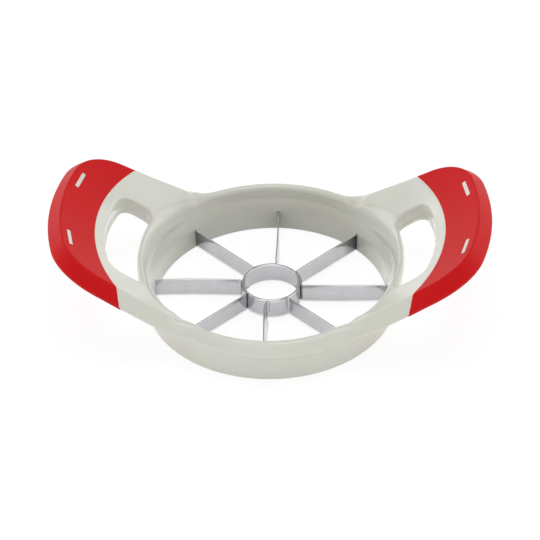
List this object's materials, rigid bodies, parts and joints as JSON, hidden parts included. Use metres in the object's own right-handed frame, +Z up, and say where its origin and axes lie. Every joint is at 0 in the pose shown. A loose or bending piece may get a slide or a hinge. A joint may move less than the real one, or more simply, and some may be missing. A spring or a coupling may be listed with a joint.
{
  "type": "apple slicer and corer",
  "caption": "Hand apple slicer and corer: a ring with blades round a core tube, between two raised grip handles.",
  "frame": {"origin": "middle of the ring, on the plane that the ring rests on", "axes": "+X along the right handle, +Z up out of the open mouth of the ring, +Y across the handles"},
  "size_m": [0.1844, 0.1156, 0.0489],
  "materials": {
    "frame": "glossy",
    "steel": "satin",
    "grip": "matte"
  },
  "bodies": {
    "root": {"upper_frame": "frame", "lower_frame": "frame", "core_ring": "steel", "blade_strip_1": "steel", "blade_strip_2": "steel", "blade_strip_3": "steel", "blade_strip_4": "steel", "left_grip": "grip", "right_grip": "grip"}
  },
  "joints": []
}
